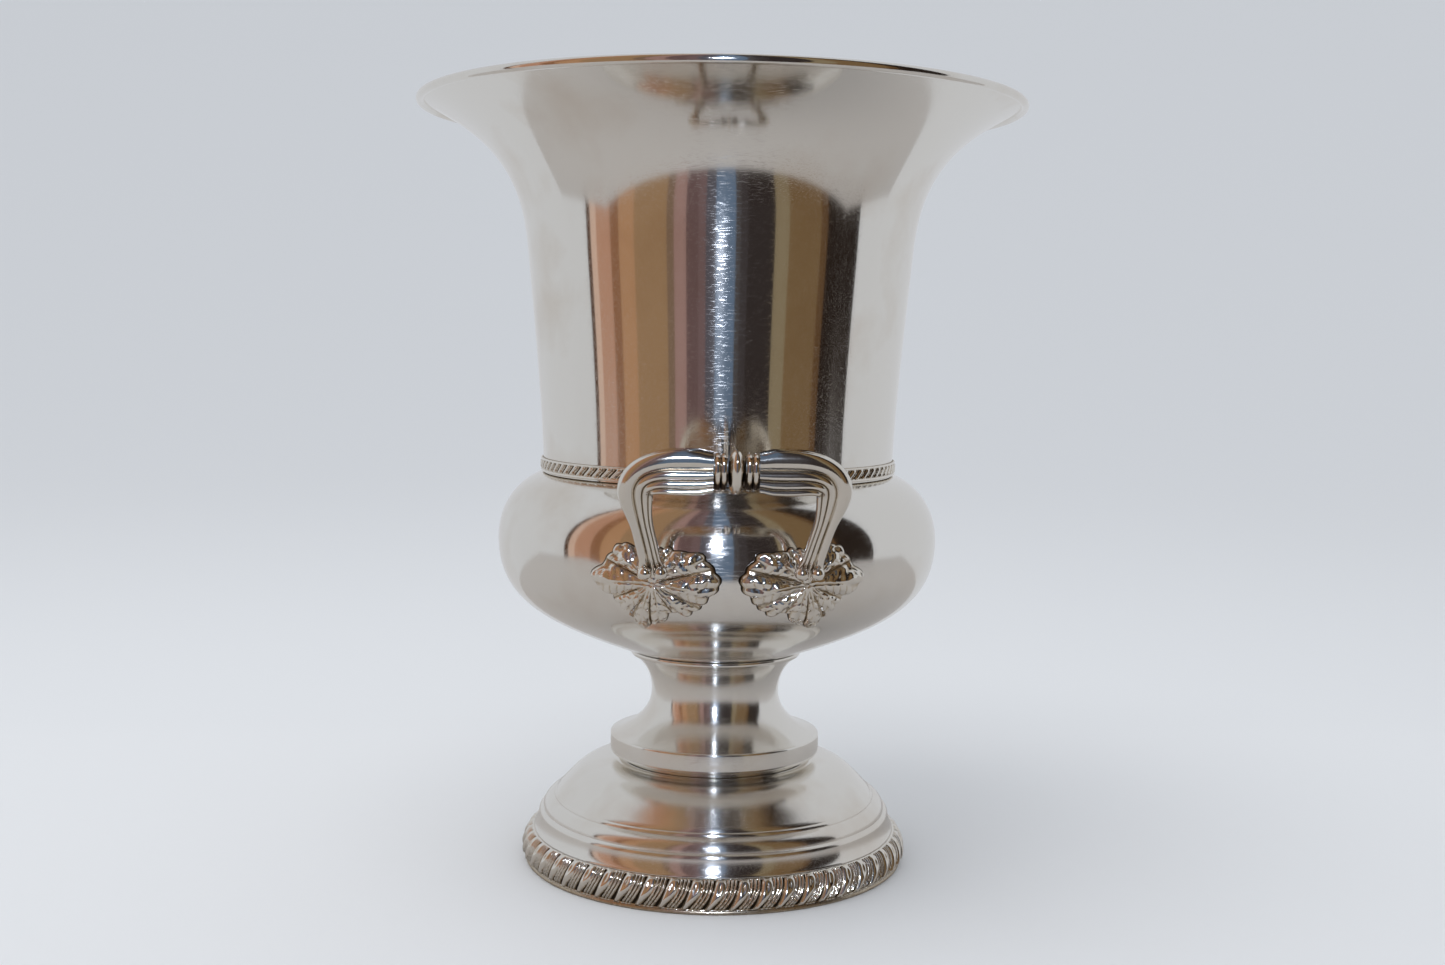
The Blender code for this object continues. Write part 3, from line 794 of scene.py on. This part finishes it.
def knop():
    """The oval bead in the middle of the bar, with two thin collars on each side, turned in one."""
    right = []
    for degrees in range(0, 76, 6):
        turn = math.radians(degrees)
        right.append((7.7 * math.cos(turn) ** 0.9, 2.55 * math.sin(turn)))
    right += [(5.1, 2.75), (5.1, 3.0)]
    for start in (3.05, 4.95):
        right += [(5.6, start), (6.2, start + 0.25), (6.45, start + 0.8), (6.2, start + 1.35)]
        right += [(5.6, start + 1.6), (5.1, start + 1.7)]
    right += [(5.1, ARM_START - 0.1), (0, ARM_START - 0.1)]
    left = [(radius, -place) for radius, place in right[:0:-1]]
    shape = turned(left + right, steps=56, axis="X")
    bmesh.ops.scale(shape, vec=(1, KNOP_FLATNESS, 1), verts=shape.verts)
    lean = math.atan2(PLANE_UP.y, PLANE_UP.z)
    bmesh.ops.rotate(shape, cent=(0, 0, 0), matrix=Matrix.Rotation(-lean, 3, "X"), verts=shape.verts)
    tarnish_and_shade = shape.verts.layers.float.new("tarnish_and_shade")
    for vert in shape.verts:
        off_axis = math.hypot(vert.co.y / KNOP_FLATNESS, vert.co.z)
        vert[tarnish_and_shade] = 1 - smoothstep(5.1, 6.0, off_axis) if abs(vert.co.x) > 2.4 else 0
    bmesh.ops.translate(shape, vec=(0, -BAR_REACH, BAR_HEIGHT), verts=shape.verts)
    return shape


# Vine leaves

LEAF_TURN = math.radians(17.8)  # from the handle's middle round to a leaf's middle
LEAF_MIDDLE = LEG_FOOT.z - 3.0
LEAF_EDGE = 0.45  # the leaf's thickness along its outline
LEAF_RINGS = 42
LEAF_STEPS = 240
LEAF_REACH = (  # direction in degrees and reach in millimetres; 0 points at the handle's middle
    (0, 21.6),
    (24, 18.8),
    (55, 12.5),
    (90, 10.5),
    (118, 13.0),
    (139, 17.0),
    (158, 17.6),
    (178, 22.2),
    (202, 15.8),
    (222, 15.2),
    (245, 17.0),
    (269, 14.0),
    (300, 11.2),
    (320, 15.8),
    (340, 18.0),
    (360, 21.6),
)
LEAF_VALLEYS = (-28, 13, 62, 118, 158, 202, 232, 258, 300, 332)  # in degrees, between one lobe and the next
PROUD_LOBES = (0, 4)  # the two long side lobes stand higher than the others
BOWL_SIDE = [point for point in bowl_outline() if point[1] <= BAND_BOTTOM - 0.4]


def scallop(degrees):
    """From 0 in the notch between two scallops of the leaf's edge to 1 on a scallop. Their widths vary."""
    return abs(math.sin(math.radians(13 * degrees + 60 * math.sin(math.radians(3 * degrees + 40)))))


def leaf_edge(direction):
    """How far the leaf reaches in a direction, with small scallops along its edge."""
    degrees = math.degrees(direction) % 360
    for (start, before), (end, after) in zip(LEAF_REACH, LEAF_REACH[1:]):
        if start <= degrees <= end:
            return before + (after - before) * smoothstep(start, end, degrees) + 0.9 * scallop(degrees) - 0.5
    raise ValueError(f"the leaf has no edge at {degrees} degrees")


def leaf_relief(direction, reach, share):
    """Height of the leaf's face over the bowl, and how dark it is there. Each lobe is a lumpy pillow with a
    midrib, slanting side veins, and flutes that end in the edge's scallops."""
    degrees = math.degrees(direction) % 360
    if degrees >= LEAF_VALLEYS[-1]:
        degrees -= 360
    lobe = max(place for place, valley in enumerate(LEAF_VALLEYS) if valley <= degrees)
    start, end = LEAF_VALLEYS[lobe : lobe + 2]
    across = (2 * degrees - start - end) / (end - start)
    pillow = math.sqrt(max(0, 1 - across * across))
    valley = (1 - pillow) * smoothstep(1.5, 6.0, reach)
    swell = math.sin(math.pi * (0.20 + 0.66 * share)) * (1.35 if lobe in PROUD_LOBES else 1)
    flute = (1 - scallop(degrees)) ** 2 * smoothstep(0.62, 0.9, share)
    off_rib = reach * math.radians(degrees - (start + end) / 2)
    midrib = math.exp(-((off_rib / 0.3) ** 2)) * smoothstep(0.7, 0.4, share)
    midrib *= smoothstep(1.5, 3, reach)
    spot = Vector((reach * math.cos(direction), reach * math.sin(direction), 0))
    lump = noise.noise(spot / 2.6) * 0.6 * smoothstep(2, 5, reach) + noise.noise(spot / 1.1) * 0.2
    slant = math.cos(TAU * (reach / 2.7 - 0.8 * abs(across)))
    side_vein = max(0, slant) ** 4 * smoothstep(0.08, 0.3, abs(across)) * smoothstep(1.0, 0.8, abs(across))
    side_vein *= smoothstep(3.5, 6, reach) * smoothstep(1.0, 0.85, share)
    height = 1.0 + 2.1 * swell * (1 - 0.85 * valley) + lump * smoothstep(1.0, 0.8, share)
    height += 0.6 * math.exp(-((reach / 2.6) ** 2))
    height -= 0.4 * flute + 0.3 * midrib + 0.28 * side_vein
    dark = max(0.8 * smoothstep(0.4, 0.95, valley), 0.5 * flute, 0.5 * midrib, 0.5 * side_vein)
    return height, dark


def bowl_wall(height):
    """The bowl's outer radius at a height, and the outward direction there as (radius, height)."""
    for (upper_radius, upper), (lower_radius, lower) in zip(BOWL_SIDE, BOWL_SIDE[1:]):
        if lower <= height <= upper:
            share = (upper - height) / (upper - lower)
            out = Vector((upper - lower, lower_radius - upper_radius)).normalized()
            return upper_radius + share * (lower_radius - upper_radius), out
    raise ValueError(f"the bowl's side doesn't reach {height} mm")


def right_leaf():
    """A vine leaf in relief, wrapped on the bowl. It starts as a disc spun from a spoke.

    Known fault: the finished leaf's faces point inwards.
    """
    spoke = [(ring / LEAF_RINGS, 1) for ring in range(LEAF_RINGS + 1)]
    shape = turned(spoke + [(1, 0), (0.5, 0), (0, 0)], steps=LEAF_STEPS)
    tarnish_and_shade = shape.verts.layers.float.new("tarnish_and_shade")
    for vert in shape.verts:
        share, on_face = vert.co.xy.length, vert.co.z > 0.5
        direction = math.atan2(vert.co.y, vert.co.x) % TAU
        reach = share * leaf_edge(direction)
        height, dark = leaf_relief(direction, reach, share)
        rim = smoothstep(1.0, 0.93, share)
        height = LEAF_EDGE + (height - LEAF_EDGE) * rim if on_face else 0.02
        vert[tarnish_and_shade] = max(dark, 1 - rim) if on_face else 1
        # Direction 0 points at the handle's middle, which is to the left of this leaf.
        across, up = -reach * math.cos(direction), reach * math.sin(direction)
        radius, out = bowl_wall(LEAF_MIDDLE + up)
        turn = LEAF_TURN + across / BOWL_RADIUS
        radius += out.x * height
        vert.co = (radius * math.sin(turn), -radius * math.cos(turn), LEAF_MIDDLE + up + out.y * height)
    bmesh.ops.recalc_face_normals(shape, faces=shape.faces)
    return shape


def place_handle_piece(shape, side, back):
    """Mirrors a right-hand piece for the left, and turns a front one round for the back."""
    if side == "left":
        bmesh.ops.scale(shape, vec=(-1, 1, 1), verts=shape.verts)
        bmesh.ops.reverse_faces(shape, faces=shape.faces)
    if back:
        bmesh.ops.rotate(shape, cent=(0, 0, 0), matrix=Matrix.Rotation(math.pi, 3, "Z"), verts=shape.verts)
    return shape


def handles():
    """The two handles, five pieces each."""
    for back, end in ((False, "front"), (True, "back")):
        node = f"{end}_handle"
        middle = place_handle_piece(knop(), "right", back)
        finish_piece(f"{end}_turned_knop", middle, f"{node}_knop", [HANDLE])
        for side in ("left", "right"):
            arm = place_handle_piece(right_arm(), side, back)
            finish_piece(f"{end}_{side}_reeded_arm", arm, f"{node}_{side}_arm", [HANDLE], sharp_from=70)
            leaf = place_handle_piece(right_leaf(), side, back)
            finish_piece(f"{end}_{side}_vine_leaf", leaf, f"{node}_{side}_leaf", [RELIEF], sharp_from=70)


# Studio

ROOM_RADIUS = 4000
ROOM_MIDDLE = 150  # the room's middle is this high above the floor
TABLE_FRONT = 330
TABLE_BACK = 190
BACKDROP_TOP = 1400
STAGE_HALF_WIDTH = 900
WHITE_CLOTH = "#CED0D4"
ROOM_STRIPES = (  # azimuth in degrees where each upright stripe of the dim room starts, and its colour
    (-180, WHITE_CLOTH),
    (-83, "#4A3020"),
    (-81, "#CEB1A0"),
    (-76, "#B48A73"),
    (-67, "#8A6248"),
    (-61, "#AC8565"),
    (-52, "#96795C"),
    (-32, "#7A6555"),
    (-28, "#997C77"),
    (-21, "#665252"),
    (-14, "#6F5B5C"),
    (-9, "#54525A"),
    (-4, "#5E7088"),
    (8, "#4A4646"),
    (11, "#3E393A"),
    (15, "#332D2C"),
    (30, "#847760"),
    (38, "#745E43"),
    (59, "#5E4730"),
    (63, "#261E19"),
    (85, WHITE_CLOTH),
)


def stage_object(name, shape, material, glossy_only):
    """Turns a bmesh in metres into a piece of the studio. Reflections alone see it, or the camera alone."""
    mesh = bpy.data.meshes.new(name)
    shape.to_mesh(mesh)
    shape.free()
    mesh.shade_smooth()
    mesh.materials.append(material)
    made = bpy.data.objects.new(name, mesh)
    bpy.context.scene.collection.objects.link(made)
    made.visible_camera = not glossy_only
    made.visible_glossy = glossy_only
    made.visible_diffuse = False
    made.visible_shadow = False
    return made


def reflected_sheet(name, low, high, material):
    """A flat sheet across the scene between two (y, z) edges."""
    shape = bmesh.new()
    left, right = -STAGE_HALF_WIDTH, STAGE_HALF_WIDTH
    round_edge = ((left, *low), (right, *low), (right, *high), (left, *high))
    shape.faces.new([shape.verts.new(Vector(corner) * MM) for corner in round_edge])
    stage_object(name, shape, material, glossy_only=True)


def matt(name, colour):
    """Paper or cloth with no shine."""
    material, _, paint = new_material(name)
    paint.inputs["Base Color"].default_value = linear(colour)
    paint.inputs["Roughness"].default_value = 0.9
    return material


def glow(name, colour):
    """A surface that shines evenly."""
    material = bpy.data.materials.new(name)
    material.use_nodes = True
    tree = material.node_tree
    tree.nodes.remove(tree.nodes["Principled BSDF"])
    shine = add(tree, "ShaderNodeEmission", values=[("Color", linear(colour)), ("Strength", 1)])
    tree.links.new(shine.outputs[0], tree.nodes["Material Output"].inputs["Surface"])
    return material, tree, shine


def room():
    """A ball round everything that only reflections see: upright stripes of a dim room between two white
    cloths."""
    material, tree, shine = glow("dim_warm_room", WHITE_CLOTH)
    place = add(tree, "ShaderNodeTexCoord").outputs["Object"]
    front = math.radians(90 - CAMERA_AZIMUTH)
    turn = add(tree, "ShaderNodeMapping", [("Vector", place)], [("Rotation", (0, 0, front))])
    around = add(tree, "ShaderNodeTexGradient", [("Vector", turn.outputs[0])], gradient_type="RADIAL")
    ramp = add(tree, "ShaderNodeValToRGB", [("Fac", around.outputs["Fac"])])
    ramp.color_ramp.interpolation = "CONSTANT"
    stops = ramp.color_ramp.elements
    stops[0].color = linear(ROOM_STRIPES[0][1])
    stops[1].color = linear(ROOM_STRIPES[-1][1])
    for azimuth, colour in ROOM_STRIPES[1:]:
        stops.new(0.5 + azimuth / 360).color = linear(colour)
    tree.links.new(ramp.outputs[0], shine.inputs["Color"])
    shape = bmesh.new()
    bmesh.ops.create_uvsphere(shape, u_segments=64, v_segments=32, radius=ROOM_RADIUS * MM)
    ball = stage_object("room", shape, material, glossy_only=True)
    ball.location.z = ROOM_MIDDLE * MM


def sweep():
    """The pale floor, which rises far behind in one soft curve all round."""
    outline = [(0, 0), (200, 0), (900, 0)]
    outline += curve((1500, 0), (2300, 0), (2800, 500), (2800, 1300), points=16)
    outline += [(2800, 3500)]
    shape = turned(outline, steps=96)
    bmesh.ops.reverse_faces(shape, faces=shape.faces)
    bmesh.ops.scale(shape, vec=(MM, MM, MM), verts=shape.verts)
    stage_object("sweep", shape, matt("matt_pale_paper", "#E8E9EA"), glossy_only=False)


def studio():
    """The floor that the camera sees, and the room, table and backdrop that the silver reflects."""
    sweep()
    room()
    table = matt("matt_table_cloth", "#BEB9B5")
    reflected_sheet("table", (-TABLE_FRONT, 0), (TABLE_BACK, 0), table)
    backdrop = glow("white_backdrop_cloth", WHITE_CLOTH)[0]
    reflected_sheet("backdrop", (TABLE_BACK, 0), (TABLE_BACK, BACKDROP_TOP), backdrop)
    world = bpy.data.worlds.new("even_light")
    world.use_nodes = True
    world.node_tree.nodes["Background"].inputs["Color"].default_value = linear("#E9EDF3")
    world.node_tree.nodes["Background"].inputs["Strength"].default_value = 0.85
    bpy.context.scene.world = world


def lamp(name, size, power, colour, place, target, glossy=True, diffuse=True):
    """A round lamp aimed at a target. Its size, place and target are in millimetres, its power in watts."""
    light = bpy.data.lights.new(name, "AREA")
    light.shape = "DISK"
    light.size = size * MM
    light.energy = power
    light.color = linear(colour)[:3]
    holder = bpy.data.objects.new(name, light)
    holder.location = Vector(place) * MM
    holder.rotation_euler = (Vector(target) - Vector(place)).to_track_quat("-Z", "Y").to_euler()
    holder.visible_glossy = glossy
    holder.visible_diffuse = diffuse
    bpy.context.scene.collection.objects.link(holder)


# Camera

CAMERA_AZIMUTH = -3.2  # degrees from the front
CAMERA_DISTANCE = 592.5
CAMERA_HEIGHT = 187.7
CAMERA_TILT = -4.91
CAMERA_HEADING = -3.37
CAMERA_ROLL = 0.77
LENS = 40.858  # focal length in millimetres on a sensor 36 mm wide


def camera():
    """Makes the camera and returns its place."""
    lens = bpy.data.cameras.new("camera")
    lens.sensor_width = 36
    lens.lens = LENS
    lens.clip_start = 0.01
    holder = bpy.data.objects.new("camera", lens)
    around = Matrix.Rotation(math.radians(CAMERA_AZIMUTH), 4, "Z")
    place = around @ Vector((0, -CAMERA_DISTANCE, CAMERA_HEIGHT)) * MM
    turn = (
        Matrix.Rotation(math.radians(CAMERA_HEADING), 4, "Z")
        @ Matrix.Rotation(math.radians(90 + CAMERA_TILT), 4, "X")
        @ Matrix.Rotation(math.radians(CAMERA_ROLL), 4, "Z")
    )
    holder.matrix_world = Matrix.Translation(place) @ turn
    bpy.context.scene.collection.objects.link(holder)
    bpy.context.scene.camera = holder
    return place / MM


upper_body()
rim_wire()
bowl()
waist_band()
stem()
foot_dome()
gadroon_border()
base_ring()
clamp()
handles()

lens_place = camera()
studio()
lamp("flash", 44, 1.25, "#DCE8FF", lens_place + Vector((0, 0, 105)), (0, 0, 130), diffuse=False)
lamp("overhead_softbox", 900, 4.6, "#FFFFFF", (-300, -300, 1300), (0, 0, 100), glossy=False)
bpy.context.scene.view_settings.view_transform = "Standard"
